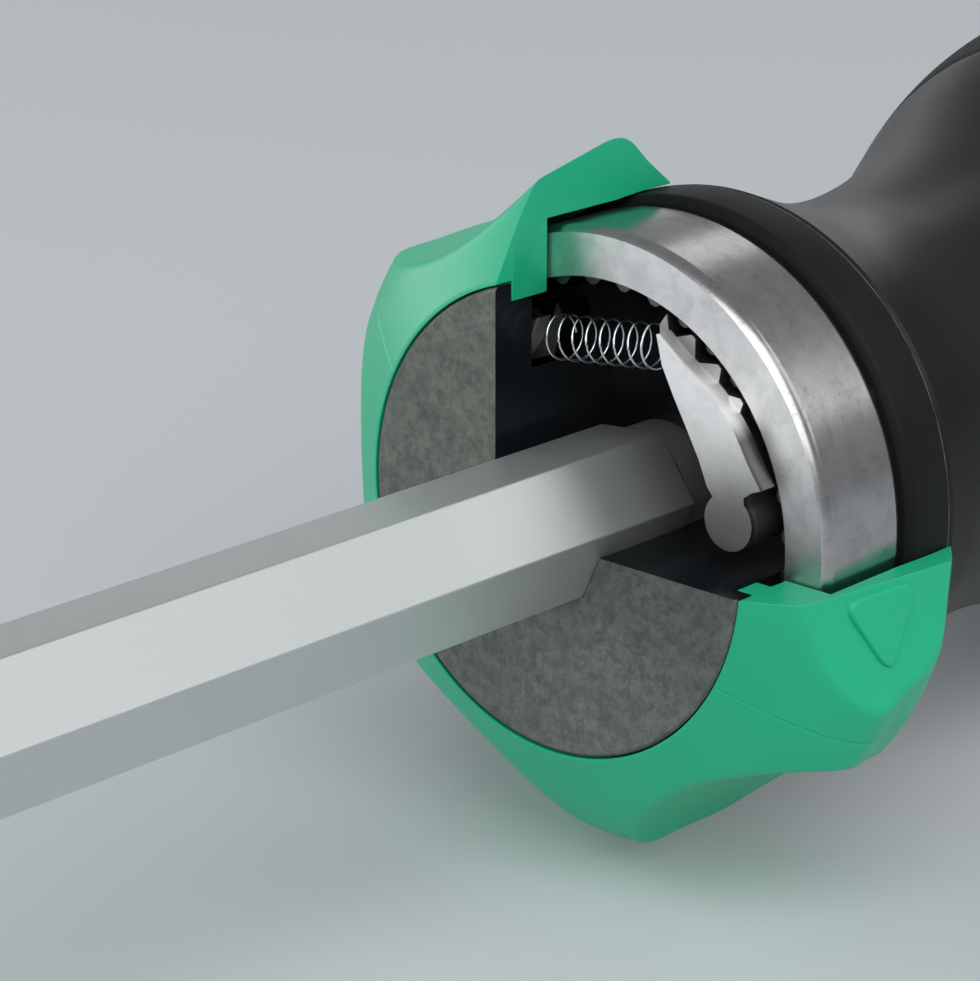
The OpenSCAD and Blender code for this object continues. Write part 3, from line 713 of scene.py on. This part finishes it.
class SCREWDRIVER_OT_hub(bpy.types.Operator):
    """Makes the hub with its pins and detent"""

    bl_idname = "screwdriver.hub"
    bl_label = "Hub"

    def execute(self, context):
        edge = context.scene.screwdriver_sizes.hub_edge / MM
        soften_piece("hub_body", "hub", "hub_and_blade", "sintered_steel", edge)
        dress("pawl_pin_right", "pawl_pin_left", "detent_ball")
        self.detent_spring()
        return {"FINISHED"}

    def detent_spring(self):
        """The small coil under the detent ball, as large as its CAD node."""
        node = frame["nodes"]["detent_spring"]
        points = [node.matrix_world @ v.co / MM for v in node.data.vertices]
        low, high = (Vector([pick(p[i] for p in points) for i in range(3)]) for pick in (min, max))
        wire, turns, turn_steps = 0.3, 5, 24
        middle = (low + high) / 2
        radius = (high.x - low.x - wire) / 2
        rise = high.z - low.z - wire
        coil = []
        for k in range(turns * turn_steps + 1):
            a = 2 * pi * k / turn_steps
            z = low.z + wire / 2 + rise * k / (turns * turn_steps)
            coil.append(Vector((middle.x + radius * cos(a), middle.y + radius * sin(a), z)))
        mesh = tube("detent_coil", coil, wire / 2)
        place_piece(mesh, "hub_and_blade", "spring_wire", "detent_spring")


class SCREWDRIVER_OT_pawls(bpy.types.Operator):
    """Makes both pawls and the spring between them"""

    bl_idname = "screwdriver.pawls"
    bl_label = "Pawls and spring"

    def execute(self, context):
        sizes = context.scene.screwdriver_sizes
        edge = sizes.pawl_edge / MM
        for side in ("right", "left"):
            soften_piece(f"{side}_pawl_plate", f"pawl_{side}", f"{side}_pawl", "pawl_steel", edge)
        self.spring(sizes)
        return {"FINISHED"}

    def spring(self, sizes):
        """Two halves of one coil that runs from the right pawl's seat to the left pawl's."""
        # The spring's seats on the two pawls
        right = Vector((HEAD + 3.4, -3.545, 8.45))
        left = Vector((HEAD + 3.4, 2.654, 7.731))
        steps = 144
        for side, seat, start in (("right", right, 0), ("left", left, 0.5)):
            shares = (start + 0.5 * k / steps for k in range(steps + 1))
            points = [self.coil(right, left, sizes, share) for share in shares]
            mesh = tube(f"{side}_spring_half", points, sizes.wire / MM / 2)
            piece = place_piece(mesh, None, "spring_wire", "pawl_spring")
            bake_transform(piece)

    def coil(self, right, left, sizes, t):
        """A point of the coil's middle line, a share of the way along its wire."""
        along = (left - right).normalized()
        side = Vector((1, 0, 0))
        up = along.cross(side)
        wire, radius = sizes.wire / MM, sizes.coil_d / MM / 2
        # Turns in all, and the part of a turn that is wound close at each end
        turns, closed = 8.0, 0.6
        turn = turns * t
        wound = min(turn, closed) + max(turn - turns + closed, 0)
        opened = min(max((turn - closed) / (turns - 2 * closed), 0), 1)
        # Close turns touch but for a tenth of the wire, and the open ones take up the rest
        close_pitch, open_height = 1.1 * wire, (left - right).length - 4.4 * wire
        height = 0.5 * wire + close_pitch * wound + open_height * opened
        angle = 2 * pi * turn
        return right + along * height + (side * cos(angle) + up * sin(angle)) * radius


def scoop_radius(x, off, sizes):
    """Radius of a scoop's surface at a place along the ring, an angle off the scoop's middle.

    A scoop is a cylinder that leans back. Where it misses the ring the radius is very large.
    """
    lean, lowest_x, missed = radians(8), 6.5, 1e3
    size, floor = sizes.scoop_r / MM, sizes.scoop_min_r / MM
    height = floor + size + (x - lowest_x) * tan(lean)
    c2 = cos(lean) ** 2
    ca, sa = cos(radians(off)), sin(radians(off))
    a = ca * ca * c2 + sa * sa
    b = ca * height * c2
    room = b * b - a * (height * height * c2 - size * size)
    return (b - sqrt(room)) / a if room > 0 else missed


class SCREWDRIVER_OT_selector(bpy.types.Operator):
    """Makes the selector ring with its lobes, finger scoops and turning marks"""

    bl_idname = "screwdriver.selector"
    bl_label = "Selector ring"

    # The first scoop's angle and the step to the next, in degrees; two of the lobes half way
    # between scoops have parting lines
    scoop_a, scoop_step = 58.1, 60
    parting_a = (scoop_a + 2.5 * scoop_step, scoop_a + 5.5 * scoop_step)
    parting_half_a, parting_depth = 0.3, 0.06
    marks = (
        ("right_mark", scoop_a + 2 * scoop_step, 1),
        ("left_mark", scoop_a + 5 * scoop_step, -1),
    )
    # The two faces of the cut, the floor in z and the side in y, and the rounding of their edges
    cut_floor, cut_side, cut_edge = -0.88, 3.33, 0.03
    # The ring's ends and its outside at the rear
    front_x, rear_x, rear_r = 0.05, 12.2, 13.8
    # Where the bore is relieved for the pawls, holds one in and has the detent ball's track
    right_relief_end, left_relief, hold, track = 188, (307, 379), (378, 387), (219, 276)

    def execute(self, context):
        sizes = context.scene.screwdriver_sizes
        outside = self.profile(sizes)
        meshes = [self.mesh(outside, sizes)]
        meshes += [self.mark(*mark, outside, sizes) for mark in self.marks]
        for mesh in meshes:
            place_piece(mesh, "selector", "green_plastic", "selector_ring")
        return {"FINISHED"}

    def profile(self, sizes):
        """The ring's outside over a lobe, from front to rear, as (place, radius)."""
        reach, rise = self.rear_x - self.front_x, sizes.lobe_r / MM - self.rear_r
        # Shares of the ring's length and of the height that the lobes rise above its rear
        form = [(0.177, 0.335), (0.362, 1), (0.543, 0.96), (0.738, 0.83), (0.87, 0.4), (1, 0)]
        knots = [(self.front_x + s * reach, self.rear_r + t * rise) for s, t in form]
        return curve_through([(self.front_x, 11.3)] + knots, 14)

    def outer(self, x, r, a, sizes):
        """Radius of the ring's outside, with scoops and parting lines, from that over a lobe."""
        step = self.scoop_step
        off = (a - self.scoop_a + step / 2) % step - step / 2
        scoop = min(scoop_radius(x, off + shift, sizes) for shift in (-step, 0, step))
        radius = smooth_least(r, scoop, sizes.scoop_blend / MM)
        across = min(abs((a - self.parting_a[0] + 90) % 180 - 90) / self.parting_half_a, 1)
        return radius - (1 - across) * self.parting_depth

    def mark(self, name, scoop, way, outside, sizes):
        """A raised triangle that points the way to turn, laid on the flank of a scoop."""
        # Corners as the place along the ring and the way across it, in millimetres
        corners = [(3.68, -1.5), (8.47, -1.71), (5.8, 1.72)]
        corner_r, spacing, off_a, floor_r = 0.7, 0.25, 13, 14.6
        height = sizes.mark_h / MM
        outline = [Vector(c) for c in fillet(corners, [corner_r] * 3, 8)]
        dense = []
        for i, here in enumerate(outline):
            after = outline[(i + 1) % len(outline)]
            pieces = max(1, int((after - here).length / spacing))
            dense += [here.lerp(after, k / pieces) for k in range(pieces)]
        middle = sum(dense, Vector((0, 0))) / len(dense)
        # The skin from below the ring's surface round the edge to the top, as shares of the
        # way from the middle to the outline and of the height
        shells = [
            (0.0, -0.15), (0.5, -0.15), (1.05, -0.15), (1.05, 0.0), (1.03, 0.45), (1.0, 0.8),
            (0.965, 0.97), (0.92, 1.0), (0.7, 1.0), (0.45, 1.0), (0.2, 1.0), (0.0, 1.0),
        ]
        columns = []
        for point in dense:
            loop = []
            for share, rise in shells:
                x, v = middle.lerp(point, share)
                a = scoop + way * off_a + way * degrees(v / floor_r)
                radius = self.outer(x, value_at(outside, x), a, sizes)
                loop.append(on_tool(x, radius + rise * height, a))
            columns.append(loop)
        return cap_loft(name, columns, 30)

    def bore(self, a):
        """The ring's inside at an angle, from rear to front, as (place, radius)."""
        lip = groove = ball = 10.28
        if self.hold[0] < a < self.hold[1]:
            groove = 10.61
        if a < self.right_relief_end or self.left_relief[0] < a < self.left_relief[1]:
            groove = 11.1
        if self.track[0] < a < self.track[1]:
            ball = 10.5
        deeper = max(ball, groove)
        return [
            (self.rear_x, 13.71), (10.2, 13.7), (8.2, 13.6), (3.5, 13.6), (3.5, groove),
            (3.19, groove), (3.19, deeper), (2.45, deeper), (2.45, ball), (1.49, ball),
            (1.49, lip), (1.12, lip), (1.12, 11.2), (self.front_x, 11.2),
        ]

    def floor_angle(self, r, gap=0.0):
        """Angle at which a radius meets the cut's floor, or stays a gap below it."""
        return 180 + degrees(asin((gap - self.cut_floor) / r))

    def side_angle(self, r, gap=0.0):
        """Angle at which a radius meets the cut's side, or stays a gap behind it."""
        return 360 + degrees(acos((self.cut_side + gap) / r))

    def spread(self, first, last):
        """Angles of the ring's columns, packed closer where the bore steps and the lobes part."""
        steps = int((last - first) / 0.32)
        angles = [first + (last - first) * i / steps for i in range(steps + 1)]
        # Each step of the bore lies between two columns, clear of the others
        half_step, clear = 0.02, 0.12
        for edge in (self.right_relief_end, *self.left_relief, *self.hold, *self.track):
            near = [edge - half_step, edge + half_step]
            angles = [a for a in angles if abs(a - edge) > clear] + near
        clear = 0.55
        for lobe in self.parting_a:
            near = [lobe + k * self.parting_half_a / 2 for k in range(-3, 4)]
            angles = [a for a in angles if abs(a - lobe) > clear] + near
        angles.sort()
        return [first, first] + angles[2:-2] + [last, last]

    def mesh(self, outside, sizes):
        """The ring as one closed skin between the two faces of the cut."""
        middle_r, bend_a, rounds = 14, 12, 3
        first, last = self.floor_angle(middle_r), self.side_angle(middle_r)
        angles = self.spread(first, last)
        # The columns next to the ends stand back a little, and the ends are drawn in to match
        gaps = [0.0] * len(angles)
        gaps[1] = gaps[-2] = self.cut_edge

        def column(base, gap):
            """One loop round the ring's section, bent to the cut's faces near its ends."""
            loop = []
            near, far = (max(0, 1 - off / bend_a) ** 2 for off in (base - first, last - base))
            for n, (x, r) in enumerate(outside + self.bore(base)):
                a, radius = base, r
                for _ in range(rounds):
                    a = base + near * (self.floor_angle(radius, gap) - first)
                    a += far * (self.side_angle(radius, gap) - last)
                    radius = self.outer(x, r, a, sizes) if n < len(outside) else r
                loop.append((x, radius, a))
            return loop

        loops = [column(a, g) for a, g in zip(angles, gaps)]
        for end_loop in (loops[0], loops[-1]):
            self.inset(end_loop, self.cut_edge)
        columns = [[on_tool(*p) for p in loop] for loop in loops]
        return loft("selector", columns, False, 35)

    def inset(self, loop, by):
        """Draws a loop's outline in by a small amount within its own plane."""
        # Keeps sharp corners from being drawn in too far
        least = 0.6
        flat = [Vector((x, r)) for x, r, _ in loop]
        area = sum(flat[i - 1].cross(flat[i]) for i in range(len(flat)))
        way = 1 if area > 0 else -1
        for i, here in enumerate(flat):
            u = (here - flat[i - 1]).normalized()
            v = (flat[(i + 1) % len(flat)] - here).normalized()
            normal = (Vector((-u.y, u.x)) + Vector((-v.y, v.x))) * way
            normal = normal / max(normal.length_squared / 2, least)
            moved = here + normal * by
            _, r, a = loop[i]
            if a < 270:
                angle = 180 + degrees(asin(-r * sin(radians(a)) / moved.y))
            else:
                angle = 360 + degrees(acos(r * cos(radians(a)) / moved.y))
            loop[i] = (moved.x, moved.y, angle)


class SCREWDRIVER_OT_ring(bpy.types.Operator):
    """Makes the tooth ring, its dowels and the black collar"""

    bl_idname = "screwdriver.ring"
    bl_label = "Tooth ring and collar"

    def execute(self, context):
        sizes = context.scene.screwdriver_sizes
        inside_rim = 13 * MM

        def on_rim(edge):
            return all(hypot(v.co.y, v.co.z) > inside_rim for v in edge.verts)

        soften_piece(
            "toothed_ring", "tooth_ring", "handle", "ring_steel", sizes.ring_edge / MM,
            wider=on_rim, wide=sizes.rim_edge / MM)
        outline = [
            (9.36, 10.96), (9.36, 13.2), (9.62, 13.62),
            (12.2, 13.62), (12.24, 13.55), (12.24, 10.96),
        ]
        mesh = turned("collar", fillet(outline, [0, 0.12, 0.4, 0.05, 0.03, 0]))
        place_piece(mesh, "handle", "black_collar", "collar_ring")
        dress("ring_dowels")
        return {"FINISHED"}


class SCREWDRIVER_OT_bearing(bpy.types.Operator):
    """Finishes the bush, washers and retaining ring inside the handle"""

    bl_idname = "screwdriver.bearing"
    bl_label = "Bearing"

    def execute(self, context):
        dress("thrust_washer", "journal_bush", "shaft_washer", "retaining_ring")
        return {"FINISHED"}


class SCREWDRIVER_OT_handle(bpy.types.Operator):
    """Makes the handle's core, soft grip and end cap"""

    bl_idname = "screwdriver.handle"
    bl_label = "Handle"

    # Radii of the bulb, the end cap and the hollow, and the places where the bulb ends, the
    # core makes way for the grip and the grip ends
    bulb_r, cap_r, hollow_r = 18.4, 16, 8
    bulb_x, step_x, grip_end = 58, 42.3, 92
    # The grip's thickness and the gap between it and the core
    grip_t, gap = 2, 0.05
    # The neck from the collar to the bulb, as a curve of (place, radius)
    neck = curve_through([
        (12.6, 13.56), (14.5, 12.85), (16.5, 12.15), (18.5, 11.62), (20.5, 11.26), (22.5, 11.08),
        (25, 11.07), (28, 11.35), (31, 11.87), (34, 12.67), (37, 13.83), (40, 15.25), (43, 16.65),
        (46, 17.59), (50, 18.22), (54, 18.38), (58, 18.4), (62, 18.4),
    ], 8)

    def execute(self, context):
        self.core()
        self.grip()
        self.cap()
        return {"FINISHED"}

    def outside(self, x):
        """Radius of the handle at a place between the collar and the end cap."""
        if x < self.bulb_x:
            return value_at(self.neck, x)
        return self.belly(x)

    def belly(self, x):
        """Radius of the handle from its bulb to its end cap."""
        share = (x - self.bulb_x) / (self.grip_end - self.bulb_x)
        return self.bulb_r - (self.bulb_r - self.cap_r) * ease(share)

    def core(self):
        """The hard core, hollow behind the bush, with a step for the soft grip."""
        start, reach, steps, step_x = 12.6, 29.4, 84, self.step_x
        # The collar's seat and the neck
        outline = [(9.35, 10.9), (12.28, 10.9), (12.28, 13.4), (12.34, 13.5)]
        for x in (start + reach * k / steps for k in range(steps + 1)):
            outline.append((x, self.outside(x)))
        # The step, with a rounded edge
        top = self.outside(step_x - 0.1)
        outline += [(step_x - 0.1, top - 0.03), (step_x - 0.02, top - 0.14), (step_x, top - 0.4)]
        outline.append((step_x, 13.5))
        # Under the grip
        for x in (43, 46, 49, 52, 58, 66, 74, 82, self.grip_end):
            outline.append((x, self.outside(x) - self.grip_t - self.gap))
        # The hollow, the passage for the blade's end and the bush's seat
        outline += [(self.grip_end, self.hollow_r), (32.8, self.hollow_r), (32.8, 5), (10.45, 5)]
        outline += [(10.45, 7.05), (9.6, 7.05), (9.6, 9.1), (9.35, 9.1)]
        place_piece(turned("handle_body", outline), "handle", "handle_plastic", "handle_core")

    def grip(self):
        """The soft grip, with shallow flutes for the fingers."""
        # Places along the grip, closer together at its two ends
        xs = [42.5, 42.53, 42.63, 42.8] + [43 + 49 * k / 110 for k in range(109)] + [91.75, 91.95]
        # How far the first and last places lie below the surface, which rounds both edges
        dips = {0: 0.4, 1: 0.16, 2: 0.04, len(xs) - 2: 0.08, len(xs) - 1: 0.3}
        top = [(x, self.outside(x) - dips.get(i, 0)) for i, x in enumerate(xs)]
        backwards = (self.grip_end, 74, 58, 52, 47, 42.45)
        under = [(x, self.outside(x) - self.grip_t) for x in backwards]
        # Each flute is a cylinder's side, deepest at the middle of the grip
        size, depth, middle, lean, blend = 14, 0.9, 75, radians(-3), 0.6

        def fluted(x, r, a):
            """Radius with the flutes, which leave the underside and the front as they are."""
            if x < 50 or r < self.belly(max(x, self.bulb_x)) - 1.5:
                return r
            off = radians((a - 90) % 60 - 30)
            far = self.bulb_r - depth + size + (x - middle) * tan(lean)
            near = cos(off) * far
            room = near ** 2 - far ** 2 + size ** 2
            return smooth_least(r, near - sqrt(room), blend) if room > 0 else r

        mesh = turned("grip_sleeve", top + under, 360, fluted)
        place_piece(mesh, "handle", "grip_rubber", "soft_grip")

    def cap(self):
        """The domed end cap with its plug."""
        # The dome starts at its full radius and falls in a quarter of an ellipse
        start, dome, fall, steps = 95.05, 15, 7, 24
        turns = [radians(90 * k / steps) for k in range(1, steps + 1)]
        outline = [(92.05, self.hollow_r), (92.05, 15.5), (92.1, 15.8), (92.35, self.cap_r)]
        outline.append((start, self.cap_r))
        outline += [(start + dome * sin(t), self.cap_r - fall * (1 - cos(t))) for t in turns]
        # The shallow ring in the end, and the plug
        outline += [(110.05, 7.6), (109.75, 7.3), (109.75, 0.001)]
        outline += [(80, 0.001), (80, 7.4), (80.4, 7.95), (92.05, 7.95)]
        place_piece(turned("handle_cap", outline), "handle", "handle_plastic", "end_cap")


def direction(azimuth, elevation):
    """The way from the head to something round and above it, from two angles."""
    return Vector((sin(azimuth) * cos(elevation), -cos(azimuth) * cos(elevation), sin(elevation)))


# Each lamp's name, angles round and above the head, distance and size in metres, and watts
LAMPS = (
    ("key_lamp", -38, 44, 0.6, (0.6, 0.6), 2.7),
    ("side_lamp", 40, 37, 0.65, (0.4, 0.4), 0.6),
    ("ring_lamp", 114, 34, 0.6, (0.1, 0.16), 0.055),
    ("neck_lamp", 112, 13, 0.6, (0.24, 0.07), 0.1),
    ("back_lamp", 140, 10, 0.6, (0.34, 0.12), 0.07),
    ("rim_lamp", -172, 12, 0.6, (0.25, 0.25), 0.8),
    ("low_lamp", -133, 6, 0.6, (0.3, 0.3), 0.9),
)


def lamp(context, name, azimuth, elevation, distance, size, power):
    """Adds an area lamp that faces the head."""
    data = bpy.data.lights.new(name, "AREA")
    data.shape = "RECTANGLE"
    data.size, data.size_y, data.energy = *size, power
    away = direction(radians(azimuth), radians(elevation))
    made = bpy.data.objects.new(name, data)
    context.collection.objects.link(made)
    made.location = FOCUS + away * distance
    made.rotation_euler = away.to_track_quat("Z", "Y").to_euler()


class SCREWDRIVER_OT_stage(bpy.types.Operator):
    """Sets up the floor, the lamps and the camera"""

    bl_idname = "screwdriver.stage"
    bl_label = "Floor, lamps and camera"

    def execute(self, context):
        context.scene.view_settings.view_transform = "Standard"
        self.floor(context)
        self.sky(context)
        for row in LAMPS:
            lamp(context, *row)
        self.camera(context)
        return {"FINISHED"}

    def floor(self, context):
        """Lays a wide plain floor under the tool."""
        lowest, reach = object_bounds()[0].z, 4.0
        mesh = bpy.data.meshes.new("floor")
        corners = [(-reach, -reach), (reach, -reach), (reach, reach), (-reach, reach)]
        mesh.from_pydata([(x, y, lowest) for x, y in corners], [], [(0, 1, 2, 3)])
        floor = bpy.data.objects.new("floor", mesh)
        context.collection.objects.link(floor)
        floor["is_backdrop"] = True
        finish = Finish("finish_floor")
        plain = tuple(context.scene.screwdriver_looks.floor)
        clouds = finish.noise(0.02, 3, 0.5)
        finish.set(Base_Color=finish.mix(clouds * 0.12, plain, toned(plain, 1.04)), Roughness=0.85)
        mesh.materials.append(finish.material)

    def sky(self, context):
        """Lights the tool evenly from all round."""
        world = bpy.data.worlds.new("studio")
        world.use_nodes = True
        background = world.node_tree.nodes["Background"]
        background.inputs["Color"].default_value = (0.92, 0.96, 1.0, 1)
        background.inputs["Strength"].default_value = context.scene.screwdriver_view.sky
        context.scene.world = world

    def camera(self, context):
        """Stands the camera where the photo was taken from."""
        view = context.scene.screwdriver_view
        back = direction(view.azimuth, view.elevation)
        right = (-back).cross(Vector((0, 0, 1))).normalized()
        up = right.cross(-back)
        ray = right * view.aim[0] - up * view.aim[1] - back
        data = bpy.data.cameras.new("camera")
        data.sensor_width, data.lens = 36, view.lens
        data.clip_start, data.clip_end = 0.01, 20
        camera = bpy.data.objects.new("camera", data)
        context.collection.objects.link(camera)
        stand = Matrix((right, up, back)).transposed().to_4x4()
        stand.translation = FOCUS - ray * view.distance
        camera.matrix_world = stand
        context.scene.camera = camera


OPERATORS = (
    SCREWDRIVER_OT_blade,
    SCREWDRIVER_OT_hub,
    SCREWDRIVER_OT_pawls,
    SCREWDRIVER_OT_selector,
    SCREWDRIVER_OT_ring,
    SCREWDRIVER_OT_bearing,
    SCREWDRIVER_OT_handle,
    SCREWDRIVER_OT_stage,
)


class SCREWDRIVER_PT_panel(bpy.types.Panel):
    """Lists the pieces and their settings"""

    bl_idname = "SCREWDRIVER_PT_panel"
    bl_label = "Screwdriver"
    bl_space_type = "VIEW_3D"
    bl_region_type = "UI"
    bl_category = "Screwdriver"

    def draw(self, context):
        scene = context.scene
        for group in (scene.screwdriver_sizes, scene.screwdriver_looks, scene.screwdriver_view):
            box = self.layout.box()
            for name in group.__annotations__:
                box.prop(group, name)
        for operator in OPERATORS:
            self.layout.operator(operator.bl_idname)


GROUPS = {
    "screwdriver_sizes": ScrewdriverSizes,
    "screwdriver_looks": ScrewdriverLooks,
    "screwdriver_view": ScrewdriverView,
}


def register():
    for name, group in GROUPS.items():
        bpy.utils.register_class(group)
        setattr(bpy.types.Scene, name, bpy.props.PointerProperty(type=group))
    for part in (*OPERATORS, SCREWDRIVER_PT_panel):
        bpy.utils.register_class(part)


def unregister():
    for part in (SCREWDRIVER_PT_panel, *reversed(OPERATORS)):
        bpy.utils.unregister_class(part)
    for name, group in GROUPS.items():
        delattr(bpy.types.Scene, name)
        bpy.utils.unregister_class(group)


def main():
    """Builds the whole tool."""
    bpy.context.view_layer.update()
    register()
    for operator in OPERATORS:
        group, name = operator.bl_idname.split(".")
        getattr(getattr(bpy.ops, group), name)()


if __name__ == "__main__":
    main()
